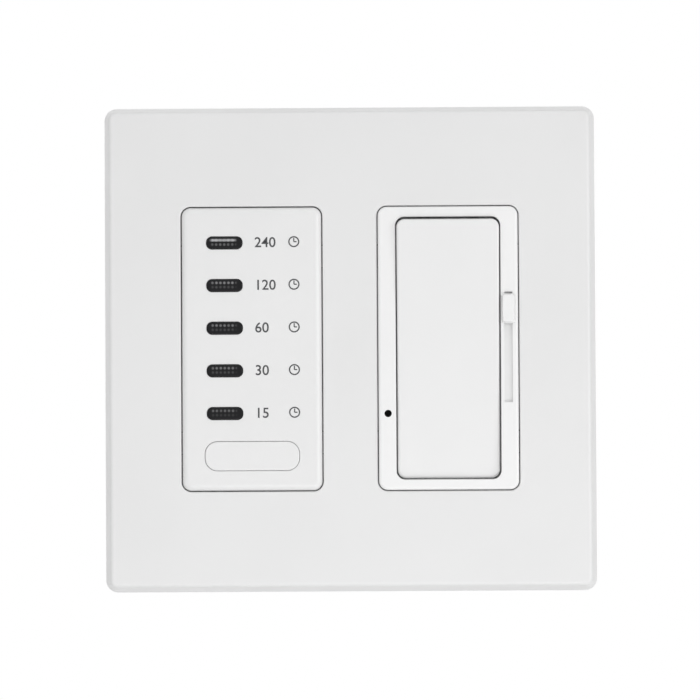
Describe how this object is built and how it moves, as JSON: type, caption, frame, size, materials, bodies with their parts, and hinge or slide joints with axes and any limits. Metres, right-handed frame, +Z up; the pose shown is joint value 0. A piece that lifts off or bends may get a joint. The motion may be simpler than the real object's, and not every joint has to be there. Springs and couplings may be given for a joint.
{
  "type": "timer light switch",
  "caption": "Wall light control set: countdown timer switch with time keys and an on/off bar, beside a slide dimmer with a rocker paddle, under a shared screwless cover plate.",
  "frame": {"origin": "centre of the wall plate in the plane of the wall's surface, midway between the box screws", "axes": "+X to the right, +Z up, +Y into the wall; the face looks along -Y"},
  "size_m": [0.1158, 0.0376, 0.1142],
  "materials": {
    "white_cover": "satin moulded white",
    "white_face": "satin moulded white",
    "white_inner": "moulded, unpolished",
    "smoked_key": "polished smoked",
    "black_moulding": "moulded",
    "black_housing": "moulded, fine texture",
    "strap_steel": "zinc plated, stamped",
    "strap_aluminium": "stamped, clear anodised",
    "zinc_steel": "zinc plated",
    "spring_steel": "drawn wire",
    "brass": "stamped",
    "green_screw": "dyed green",
    "copper": "enamelled copper",
    "contact_silver": "silver alloy",
    "circuit_board": "solder mask",
    "relay_case": "moulded",
    "capacitor_case": "moulded and potted",
    "capacitor_can": "drawn can",
    "varistor_coat": "dipped coating",
    "led_lens": "clear epoxy",
    "smoked_pipe": "smoked clear, moulded",
    "ferrite": "sintered"
  },
  "bodies": {
    "wall_set": {"cover_plate": "white_cover", "sub_plate": "white_inner", "sub_plate_screws": "zinc_steel", "box_screws": "zinc_steel", "terminal_screws": "brass", "ground_screws": "green_screw", "timer_strap": "strap_steel", "timer_face": "white_face", "timer_push_switches": "black_moulding", "timer_key_leds": "led_lens", "control_board": "circuit_board", "controller_chip": "black_moulding", "board_header": "black_moulding", "power_board": "circuit_board", "timer_relay": "relay_case", "dropper_capacitor": "capacitor_case", "smoothing_capacitors": "capacitor_can", "varistor": "varistor_coat", "timer_housing": "black_housing", "timer_terminal_plates": "brass", "timer_housing_screws": "zinc_steel", "dimmer_strap": "strap_aluminium", "dimmer_bezel": "white_face", "switch_base": "white_inner", "rocker_support": "brass", "fixed_contact": "contact_silver", "slide_pot": "capacitor_can", "light_pipe": "smoked_pipe", "locator_led": "led_lens", "dimmer_board": "circuit_board", "triac": "black_moulding", "triac_rivet": "strap_aluminium", "choke_core": "ferrite", "choke_winding": "copper", "filter_capacitor": "capacitor_case", "dimmer_housing": "black_housing", "dimmer_terminal_plates": "brass", "dimmer_housing_screws": "zinc_steel"},
    "key_240": {"time_key_240": "smoked_key", "time_plunger_240": "black_moulding"},
    "key_120": {"time_key_120": "smoked_key", "time_plunger_120": "black_moulding"},
    "key_60": {"time_key_60": "smoked_key", "time_plunger_60": "black_moulding"},
    "key_30": {"time_key_30": "smoked_key", "time_plunger_30": "black_moulding"},
    "key_15": {"time_key_15": "smoked_key", "time_plunger_15": "black_moulding"},
    "on_off": {"on_off_key": "white_face", "on_off_plunger": "black_moulding"},
    "paddle": {"dimmer_paddle": "white_face", "switch_plunger": "zinc_steel", "plunger_spring": "spring_steel"},
    "contact": {"contact_rocker": "copper", "rocker_contact": "contact_silver"},
    "slider": {"slide_knob": "white_face", "shutter_strip": "white_inner", "slide_pot_lever": "black_moulding"}
  },
  "joints": [
    {"name": "time_key_240_press", "type": "slide", "parent": "wall_set", "child": "key_240", "axis": [0, 1, 0], "range_m": [0, 0.0005], "stiffness_N_per_m": 1500, "springref_m": -0.0004},
    {"name": "time_key_120_press", "type": "slide", "parent": "wall_set", "child": "key_120", "axis": [0, 1, 0], "range_m": [0, 0.0005], "stiffness_N_per_m": 1500, "springref_m": -0.0004},
    {"name": "time_key_60_press", "type": "slide", "parent": "wall_set", "child": "key_60", "axis": [0, 1, 0], "range_m": [0, 0.0005], "stiffness_N_per_m": 1500, "springref_m": -0.0004},
    {"name": "time_key_30_press", "type": "slide", "parent": "wall_set", "child": "key_30", "axis": [0, 1, 0], "range_m": [0, 0.0005], "stiffness_N_per_m": 1500, "springref_m": -0.0004},
    {"name": "time_key_15_press", "type": "slide", "parent": "wall_set", "child": "key_15", "axis": [0, 1, 0], "range_m": [0, 0.0005], "stiffness_N_per_m": 1500, "springref_m": -0.0004},
    {"name": "on_off_press", "type": "slide", "parent": "wall_set", "child": "on_off", "axis": [0, 1, 0], "range_m": [0, 0.0005], "stiffness_N_per_m": 2000, "springref_m": -0.0004},
    {"name": "paddle_rock", "type": "hinge", "parent": "wall_set", "child": "paddle", "pos_m": [0.02302, -0.0036, 0], "axis": [-1, 0, 0], "range_deg": [0, 7]},
    {"name": "contact_tilt", "type": "hinge", "parent": "wall_set", "child": "contact", "pos_m": [0.02302, 0.01055, 0], "axis": [1, 0, 0], "range_deg": [0, 14]},
    {"name": "dimmer_slide", "type": "slide", "parent": "wall_set", "child": "slider", "axis": [0, 0, -1], "range_m": [0, 0.0181]}
  ],
  "couplings": [
    {"joint": "contact_tilt", "follows": "paddle_rock", "ratio": 2}
  ]
}
